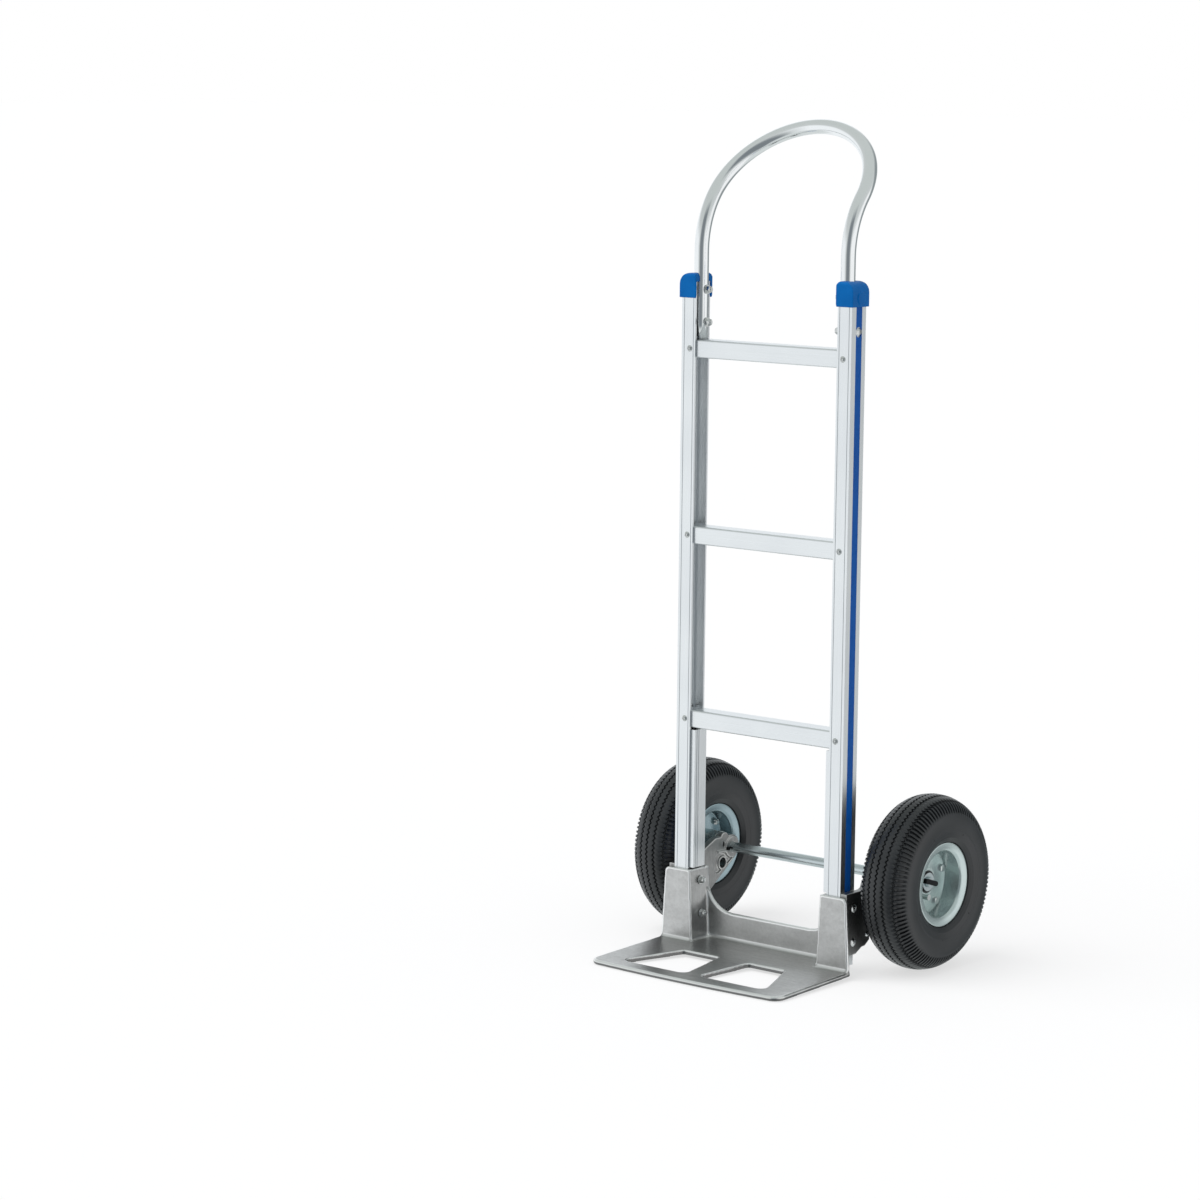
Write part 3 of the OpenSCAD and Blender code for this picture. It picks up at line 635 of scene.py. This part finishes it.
# ---------------------------------------------------------------------------------------------------------
# Tyres. Moulded black rubber, 265 mm across, on air. Five zigzag grooves run round the tread, 110 slots cut
# each shoulder into teeth that show at the outline, and each sidewall has three thin rings and mould vents.

both_sides = (("left", -1), ("right", 1))
wheel_x = 215
axle_back = 136
wheel_r = 132.5
tyre_half = 41.5
crown_height = 38
crown_inset = 0.05
wall_top_r = wheel_r - crown_height
wall_foot_x = 31.4
wall_foot_r = 64.3
teeth = 110
tooth_flank = 0.07
zigzag_reach = 1.6
zigzag_share = 0.86
groove_depth = 3.4
slot_depth = 3.3
# Distance of each groove from the tread's middle, and share of the slots' depth at its edges.
grooves = ((0, 0.0), (12.2, 0.22), (26.5, 0.45))
# Across a groove: distance from its middle, and share of its depth.
groove_section = ((-1.6, 0.0), (-1.15, 0.92), (-0.8, 1.0), (0.8, 1.0), (1.15, 0.92), (1.6, 0.0))
# Over the shoulder: distance from the tread's middle, share of the zigzag, and share of the slots' depth.
shoulder = ((28.9, 0.75, 0.6), (29.9, 0.45, 0.75), (31.0, 0.2, 0.9), (32.0, 0.0, 1.0), (32.8, 0.0, 1.0),
            (34.0, 0.0, 1.0), (35.0, 0.0, 1.0), (36.0, 0.0, 1.0), (36.9, 0.0, 1.0), (37.7, 0.0, 0.9),
            (38.5, 0.0, 0.65), (39.2, 0.0, 0.35), (39.8, 0.0, 0.12))
shoulder_foot = (40.3, 40.8, 41.2, 41.42)
bead = [(31.0, 63.2), (30.2, 60.4), (27.4, 55.4), (24.0, 52.7), (17.2, 52.6)]
wall_rings = (8, 16, 25)
wall_ring_height = 0.5
# Each mould vent's angle round the wheel and distance from its middle.
vents = ((62, 80), (118, 84), (205, 78), (262, 83), (318, 79))


def rubber(name, dark, light, rough):
    """Black rubber, faintly dusty."""
    material, nodes, links, shader = new_material(name)
    shader.inputs["Specular IOR Level"].default_value = 0.6
    fine = grain(nodes, links, 600.0, 4.0, 0.65)
    dust = grain(nodes, links, 22.0, 5.0)
    links.new(two_tone(nodes, links, dust, dark, light), shader.inputs["Base Color"])
    links.new(spread(nodes, links, dust, 0.3, 0.7, rough * 0.9, rough * 1.12), shader.inputs["Roughness"])
    links.new(bumped(nodes, links, fine, 0.04 * mm), shader.inputs["Normal"])
    return material


def crown_at(x):
    """The smooth tread's radius, and its outward direction in the section, at a distance from its middle."""
    def radius(v):
        return wall_top_r + (crown_height - crown_inset) * max(0.0, 1 - (v / tyre_half) ** 2) ** 0.4
    slope = (radius(x + 0.01) - radius(x - 0.01)) / 0.02
    size = math.hypot(slope, 1)
    return radius(x), -slope / size, 1 / size


def tread_lines():
    """Lines round the tread, from the middle out: place, share of the zigzag, groove depth, slot share."""
    lines = [(0.0, 1.0, groove_depth, 0.0)]
    for i, (middle, nick) in enumerate(grooves):
        for offset, depth in groove_section:
            if middle + offset > 0:
                lines.append((middle + offset, 1.0, groove_depth * depth, 0.0 if depth else nick))
        if i + 1 < len(grooves):
            rib = grooves[i + 1][0] - middle
            lines += [(middle + rib * f, 1.0, 0.0, 0.0) for f in (0.3, 0.5, 0.7)]
    return lines + [(x, zigzag, 0.0, slot) for x, zigzag, slot in shoulder]


def tyre_wall():
    """One sidewall's outline from the shoulder down to the rim's lip, with its thin rings."""
    wall = []
    for i in range(31):
        q = math.radians(3 * i)
        ring = sum(wall_ring_height * max(0.0, 1 - abs(i - middle) / 1.5) for middle in wall_rings)
        wall.append((wall_foot_x + (tyre_half - wall_foot_x) * math.cos(q) + ring * math.cos(q),
                     wall_top_r - (wall_top_r - wall_foot_r) * math.sin(q) - ring * math.sin(q)))
    return wall


def tyre_mesh(name):
    """The tyre's skin, as rows of points from one bead over the tread to the other."""
    right_tread = tread_lines()
    left_tread = [(-x, zigzag, groove, slot) for x, zigzag, groove, slot in reversed(right_tread[1:])]
    steps = [(k + f) / teeth for k in range(teeth) for f in (0.0, tooth_flank, 0.5, 0.5 + tooth_flank)]
    around = [(math.cos(2 * math.pi * t), math.sin(2 * math.pi * t)) for t in steps]
    rows = []
    for x, zigzag, groove, slot in left_tread + right_tread:
        row = []
        for k, (c, s) in enumerate(around):
            place = x + zigzag * zigzag_reach * (-zigzag_share if k % 4 < 2 else zigzag_share)
            r, out_x, out_r = crown_at(place)
            depth = groove + slot * slot_depth * (k % 4 in (1, 2))
            row.append((place - out_x * depth, (r - out_r * depth) * c, (r - out_r * depth) * s))
        rows.append(row)
    smooth = [(x, crown_at(x)[0]) for x in shoulder_foot] + tyre_wall() + bead
    right_rows = [[(x, r * c, r * s) for c, s in around] for x, r in smooth]
    left_rows = [[(-x, y, z) for x, y, z in row] for row in reversed(right_rows)]
    rows = left_rows + rows + right_rows
    verts = [(x * mm, y * mm, z * mm) for row in rows for x, y, z in row]
    count = len(around)
    faces = []
    for start in range(0, (len(rows) - 1) * count, count):
        for k in range(count):
            k2 = (k + 1) % count
            faces.append((start + k, start + k2, start + count + k2, start + count + k))
    mesh = bpy.data.meshes.new(name)
    mesh.from_pydata(verts, [], faces)
    mesh.polygons.foreach_set("use_smooth", [True] * len(faces))
    mesh.set_sharp_from_angle(angle=math.radians(38))
    return mesh


tyre_rubber = rubber("tyre_rubber", (0.009, 0.0104, 0.012), (0.016, 0.0182, 0.0208), 0.33)
shared_tyre = tyre_mesh("tyre_shape")
shared_tyre.materials.append(tyre_rubber)
for side, s in both_sides:
    tyre = bpy.data.objects.new("tyre_rubber_" + side, shared_tyre)
    scene.collection.objects.link(tyre)
    tyre.location = at(wheel_x * s, axle_back, wheel_r)
    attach(tyre, "wheel_" + side)
    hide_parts("tyre_" + side)
    refinish(tyre_rubber, "inner_tube_" + side)
    refinish(bright_zinc, "valve_" + side)

vent_rubber = rubber("vent_rubber", (0.004, 0.004, 0.005), (0.008, 0.008, 0.009), 0.6)
vent_stub = stacked([circle(1.3, -1.5, 12), circle(1.1, 0.3, 12), circle(0.6, 0.6, 12), [(0, 0, 0.6)]])
for side, s in both_sides:
    stubs = []
    for angle, r in vents:
        a = math.radians(angle)
        down = (wall_top_r - r) / (wall_top_r - wall_foot_r)
        wall_x = wall_foot_x + (tyre_half - wall_foot_x) * math.sqrt(1 - down ** 2)
        foot = at((wheel_x + wall_x) * s, axle_back + r * math.cos(a), wheel_r + r * math.sin(a))
        stubs.append((vent_stub, foot, (s, 0, 0), 0))
    finished(copies("mould_vents_" + side, stubs), vent_rubber, "wheel_" + side, "tyre_rubber")


# ---------------------------------------------------------------------------------------------------------
# Rims. Each is two steel pressings, bolted together through their discs by five bolts and zinc plated; the
# inner half's plating is darker than the outer's as painted shade. Their rolled lips stand out over the
# tyre's beads.

rim_joint = wheel_x - 2.3
lip_reach = 32.1
disc_bore = 21.2
barrel_r = 49.5
sheet = 2.4
flare_width = 6.5
flare_height = 10.4
rim_bolt_ring = 42
rim_bolt_seat = sheet + 0.3
rim_bolt_turn = {"left": 39, "right": 20}


def spun(outline, steps=144):
    """Verts and faces of a closed outline of (height, radius) turned about Z."""
    return stacked([circle(r, h, steps) for h, r in outline + outline[:1]])


def rim_outline(depth):
    """One rim half: its height is the distance from the joint between the two halves."""
    flare = [math.radians(7.5 * i) for i in range(11)]
    out = [(depth - 8.5 + flare_width * math.sin(q), barrel_r + 2.5 + flare_height * (1 - math.cos(q)))
           for q in flare]
    roll = [(depth - 0.9, 63.2), (depth - 0.2, 63.4), (depth + 0.4, 63.1), (depth + 0.55, 62.3),
            (depth + 0.5, 61.0)]
    inside = [(depth - 6.3 + flare_width * math.sin(q), barrel_r + flare_height * (1 - math.cos(q)))
              for q in reversed(flare)]
    turn_in = [(sheet + 2.2, barrel_r), (sheet + 0.8, barrel_r - 0.6), (sheet + 0.1, barrel_r - 2.2)]
    joint_side = [(0.1, disc_bore), (0.1, barrel_r + 2.5)]
    return joint_side + out + roll + inside + turn_in + [(sheet + 0.1, disc_bore)]


rim_zinc = plated_steel("rim_zinc", (0.58, 0.675, 0.67), (0.63, 0.72, 0.705), 0.22, 0.8)
# The inner halves' plating is the same zinc, made darker as painted shade.
inner_rim_shaded_zinc = plated_steel("inner_rim_shaded_zinc", (0.30, 0.40, 0.44), (0.36, 0.46, 0.49), 0.20, 0.8)
for side, s in both_sides:
    body = "wheel_" + side
    joint = at(rim_joint * s, axle_back, wheel_r)
    outer_half = spun(rim_outline(lip_reach + wheel_x - rim_joint))
    inner_half = spun(rim_outline(lip_reach - wheel_x + rim_joint))
    outer = copies("rim_outer_half_" + side, [(outer_half, joint, (s, 0, 0), 0)])
    inner = copies("rim_inner_half_" + side, [(inner_half, joint, (-s, 0, 0), 0)])
    finished(outer, rim_zinc, body, "rim_steel", "rim_outer_" + side)
    finished(inner, inner_rim_shaded_zinc, body, "rim_steel", "rim_inner_" + side)
    parts = []
    for i in range(5):
        a = math.radians(rim_bolt_turn[side] + 72 * i)
        y = axle_back + rim_bolt_ring * math.cos(a)
        z = wheel_r + rim_bolt_ring * math.sin(a)
        outside = at((rim_joint + rim_bolt_seat) * s, y, z)
        inside = at((rim_joint - rim_bolt_seat) * s, y, z)
        parts.append((hex_head(nut_flats, 4.0), outside, (s, 0, 0), 13 * i))
        parts.append((lock_nut(nut_flats, 4.2, 3.0), inside, (-s, 0, 0), 19 * i))
        parts.append((threaded_end(bolt_r, 8, thread_pitch), inside, (-s, 0, 0), 0))
    finished(copies("rim_hex_bolts_" + side, parts), bright_zinc, body, "zinc_steel", "rim_bolts_" + side)


# ---------------------------------------------------------------------------------------------------------
# Hubs and bearings. The hub is a steel tube, plated as the rim is, with a ball bearing pressed into each end.
# A bearing shows the edges of its two ground races, and between them a black rubber seal with a sunk band.

# Where each bearing's visible face is, and which way it looks: outwards or to the truck's middle.
bearing_faces = ((wheel_x + 3.1, 1), (wheel_x - 41.9, -1))
races = ((7.99, 9.3), (16.9, 17.5))
race_depth = 10.6
race_chamfer = 0.3
seal_outline = [(-10.2, 9.35), (-10.2, 16.85), (-0.35, 16.85), (-0.35, 15.2), (-0.7, 14.6), (-0.7, 11.2),
                (-0.35, 10.6), (-0.35, 9.35)]


def race_outline(inner, outer):
    """A ground ring's section, its face at height 0, with both face edges chamfered."""
    return [(-race_depth, inner), (-race_depth, outer), (-race_chamfer, outer), (0, outer - race_chamfer),
            (0, inner + race_chamfer), (-race_chamfer, inner)]


seal_rubber = rubber("seal_rubber", (0.012, 0.012, 0.013), (0.02, 0.02, 0.021), 0.5)
for side, s in both_sides:
    body = "wheel_" + side
    refinish(rim_zinc, "hub_" + side)
    ground_rings = []
    seals = []
    for face, way in bearing_faces:
        place = at(face * s, axle_back, wheel_r)
        for inner, outer in races:
            ground_rings.append((spun(race_outline(inner, outer), 96), place, (s * way, 0, 0), 0))
        seals.append((spun(seal_outline, 96), place, (s * way, 0, 0), 0))
    finished(copies("bearing_races_" + side, ground_rings), bright_zinc, body, "bearing_steel",
             "bearings_" + side)
    finished(copies("bearing_seals_" + side, seals), seal_rubber, body, "tube_rubber")


# ---------------------------------------------------------------------------------------------------------
# Studio. A white floor without a visible horizon, soft light from the whole room, and one broad soft key
# light from the front and above. Bare metal mirrors pale panels with darker gaps between them, none of them
# brighter than the white behind the truck. The camera stands in front, on the +X side, at chest height.

# The floor reaches 80 m each way, and lies just below the tyres.
floor_half = 80
floor_z = -0.4 * mm
camera_turn = math.radians(39.386)
camera_tilt = math.radians(8.379)
camera_roll = math.radians(0.595)

room = bpy.data.worlds.new("room")
room.use_nodes = True
scene.world = room
nodes, links = room.node_tree.nodes, room.node_tree.links


def hump(value, rise, top, top_end, fall):
    """1 between top and top_end, and down to 0 at rise and fall."""
    up = spread(nodes, links, value, rise, top, 0.0, 1.0)
    down = spread(nodes, links, value, top_end, fall, 1.0, 0.0)
    return calculated(nodes, links, "MULTIPLY", up, down)


def degrees(angle):
    """An angle in degrees from one in radians."""
    return calculated(nodes, links, "DIVIDE", angle, math.pi / 180)


# The heading is 0 where the nose points and grows towards the truck's +X side, from -180 to 180 degrees, or
# from 0 to 360 for panels behind the truck. The height is 0 at the horizon.
where = nodes.new("ShaderNodeTexCoord")
split = nodes.new("ShaderNodeSeparateXYZ")
links.new(where.outputs["Generated"], split.inputs[0])
x, y, z = split.outputs
forward_y = calculated(nodes, links, "MULTIPLY", y, -1.0)
height = degrees(calculated(nodes, links, "ARCSINE", z))
heading = degrees(calculated(nodes, links, "ARCTAN2", x, forward_y))
full_turn = calculated(nodes, links, "ADD", heading, 360.0)
back_heading = calculated(nodes, links, "MODULO", full_turn, 360.0)
above_floor = spread(nodes, links, height, -45, -20, 0.0, 1.0)
overhead = spread(nodes, links, height, 25, 50, 0.0, 1.0)
studio = blend(nodes, links, above_floor, (0.70, 0.74, 0.74), (0.60, 0.63, 0.63))
studio = blend(nodes, links, overhead, studio, (0.57, 0.61, 0.60))
left_panel = (heading, (-150, -124, -28, 2), (-48, -36, 10, 24), (0.95, 0.98, 1.0))
right_panel = (heading, (62, 76, 134, 148), (-44, -32, 8, 22), (0.98, 0.99, 1.0))
low_panel = (back_heading, (200, 210, 236, 250), (-20, -4, 28, 42), (0.93, 0.97, 1.0))
front_gap = (heading, (-6, 14, 48, 66), (-52, -38, 34, 50), (0.21, 0.235, 0.255))
back_gap = (back_heading, (140, 152, 184, 200), (-44, -28, 28, 48), (0.27, 0.30, 0.31))
for direction, sides, levels, colour in (left_panel, right_panel, low_panel, front_gap, back_gap):
    amount = calculated(nodes, links, "MULTIPLY", hump(direction, *sides), hump(height, *levels))
    studio = blend(nodes, links, amount, studio, colour)

rays = nodes.new("ShaderNodeLightPath")
room_light = nodes["Background"]
room_light.inputs["Color"].default_value = (0.97, 0.98, 1.0, 1)
room_light.inputs["Strength"].default_value = 0.62
mirrored = nodes.new("ShaderNodeBackground")
links.new(studio, mirrored.inputs["Color"])
seen = nodes.new("ShaderNodeBackground")
seen.inputs["Color"].default_value = (1, 1, 1, 1)
with_mirror = nodes.new("ShaderNodeMixShader")
links.new(rays.outputs["Is Glossy Ray"], with_mirror.inputs["Fac"])
links.new(room_light.outputs[0], with_mirror.inputs[1])
links.new(mirrored.outputs[0], with_mirror.inputs[2])
whole_room = nodes.new("ShaderNodeMixShader")
clear = calculated(nodes, links, "MAXIMUM", rays.outputs["Is Camera Ray"],
                   rays.outputs["Is Transmission Ray"])
links.new(clear, whole_room.inputs["Fac"])
links.new(with_mirror.outputs[0], whole_room.inputs[1])
links.new(seen.outputs[0], whole_room.inputs[2])
links.new(whole_room.outputs[0], nodes["World Output"].inputs["Surface"])

key_light = bpy.data.lights.new("key", "SUN")
key_light.energy = 1.5
key_light.angle = math.radians(50)
key = bpy.data.objects.new("key", key_light)
key.rotation_euler = Vector((-0.35, -0.55, 1.0)).to_track_quat("Z", "Y").to_euler()
key.visible_glossy = False
scene.collection.objects.link(key)

floor_white, nodes, links, paint = new_material("floor_white")
paint.inputs["Roughness"].default_value = 1.0
paint.inputs["Specular IOR Level"].default_value = 0.0
paint.inputs["Emission Color"].default_value = (1, 1, 1, 1)
rays = nodes.new("ShaderNodeLightPath")
shade = blend(nodes, links, rays.outputs["Is Camera Ray"], (0.8, 0.8, 0.8), (0.36, 0.36, 0.36))
glow = spread(nodes, links, rays.outputs["Is Camera Ray"], 0.0, 1.0, 0.0, 0.64)
links.new(shade, paint.inputs["Base Color"])
links.new(glow, paint.inputs["Emission Strength"])
floor_mesh = bpy.data.meshes.new("floor")
corners = [(x * floor_half, y * floor_half, floor_z) for x, y in ((-1, -1), (1, -1), (1, 1), (-1, 1))]
floor_mesh.from_pydata(corners, [], [(0, 1, 2, 3)])
floor_mesh.materials.append(floor_white)
floor = bpy.data.objects.new("floor", floor_mesh)
scene.collection.objects.link(floor)
floor.visible_glossy = False

forward = Vector((-math.sin(camera_turn) * math.cos(camera_tilt),
                  math.cos(camera_turn) * math.cos(camera_tilt),
                  -math.sin(camera_tilt)))
level = Vector((math.cos(camera_turn), math.sin(camera_turn), 0))
right_hand = level * math.cos(camera_roll) + level.cross(forward) * math.sin(camera_roll)
upward = right_hand.cross(forward)
camera_data = bpy.data.cameras.new("camera")
camera_data.lens = 109.39
camera_data.sensor_width = 36
camera_data.clip_end = 300
camera = bpy.data.objects.new("camera", camera_data)
axes = Matrix((right_hand, upward, -forward)).transposed()
camera.matrix_world = Matrix.Translation(at(3223.8, -4303.8, 1339.9)) @ axes.to_4x4()
scene.collection.objects.link(camera)
scene.camera = camera
scene.view_settings.view_transform = "Standard"
